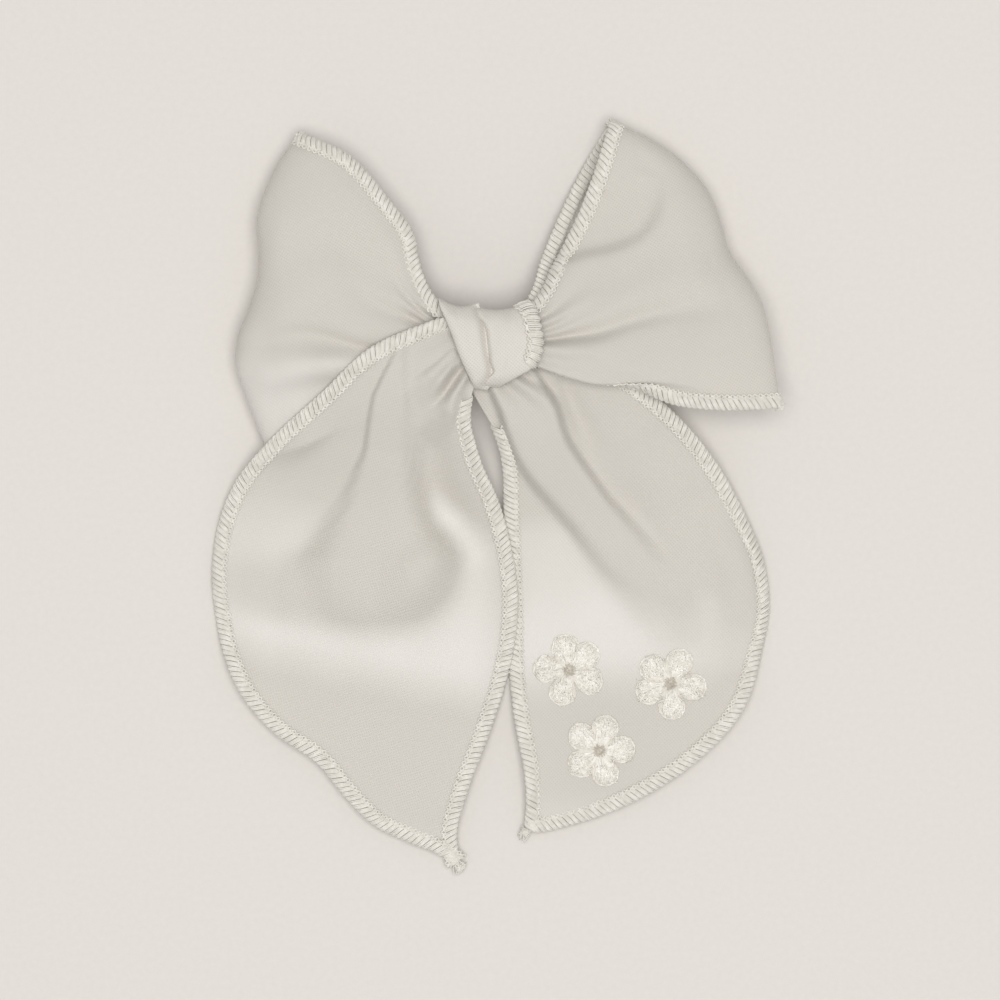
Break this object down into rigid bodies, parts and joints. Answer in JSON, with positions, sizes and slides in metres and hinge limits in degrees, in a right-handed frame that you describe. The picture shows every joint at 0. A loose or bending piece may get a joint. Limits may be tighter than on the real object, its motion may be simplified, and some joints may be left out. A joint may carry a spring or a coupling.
{
  "type": "hair bow",
  "caption": "Hand-tied sheer chiffon hair bow with folded loops, pointed tails, overlocked edges, embroidered flower patches and a spring alligator clip behind the knot.",
  "frame": {"origin": "on the floor under the middle of the whole bow's box, the bow lying face up on its clip and tails", "axes": "+X to the right across the loops, +Y from the tails' tips up to the loops, +Z out of the front of the knot"},
  "size_m": [0.1116, 0.1484, 0.0207],
  "materials": {
    "chiffon": "sheer fine plain weave, matte",
    "overlock_thread": "satin thread",
    "embroidery": "raised embroidery thread",
    "ribbon": "grosgrain",
    "hot_glue": "milky, slightly glossy",
    "pressed_steel": "nickel plated, brushed",
    "bright_steel": "bright"
  },
  "bodies": {
    "bow": {"knot_core": "chiffon", "knot_wrap_left_fold": "chiffon", "knot_wrap_right_fold": "chiffon", "knot_wrap_edge_stitch": "overlock_thread", "left_loop_front": "chiffon", "left_loop_back": "chiffon", "left_loop_edge_upper": "overlock_thread", "left_loop_edge_lower": "overlock_thread", "right_loop_front": "chiffon", "right_loop_back": "chiffon", "right_loop_edge_upper": "overlock_thread", "right_loop_edge_lower": "overlock_thread", "left_tail_gather": "chiffon", "left_tail_gather_edge_stitch": "overlock_thread", "right_tail_gather": "chiffon", "right_tail_gather_edge_stitch": "overlock_thread", "glue_pad": "hot_glue", "clip_ribbon_lining": "ribbon", "clip_top_jaw": "pressed_steel", "clip_hinge_pin": "bright_steel", "clip_spring": "bright_steel"},
    "lower_jaw": {"clip_lower_jaw": "pressed_steel"},
    "tails": {"left_tail": "chiffon", "left_tail_edge_stitch": "overlock_thread", "right_tail": "chiffon", "right_tail_edge_stitch": "overlock_thread", "flower_patch_left": "embroidery", "flower_patch_right": "embroidery", "flower_patch_lower": "embroidery"}
  },
  "joints": [
    {"name": "clip_jaw_hinge", "type": "hinge", "parent": "bow", "child": "lower_jaw", "pos_m": [-0.00775, 0.02973, 0.0054], "axis": [0, 1, 0], "range_deg": [0, 26], "stiffness_Nm_per_rad": 0.1, "springref_deg": -22.92, "deforming": ["clip_spring"]},
    {"name": "tails_lift", "type": "hinge", "parent": "bow", "child": "tails", "pos_m": [-0.00075, 0.01323, 0.0132], "axis": [-1, 0, 0], "range_deg": [0, 60]}
  ]
}
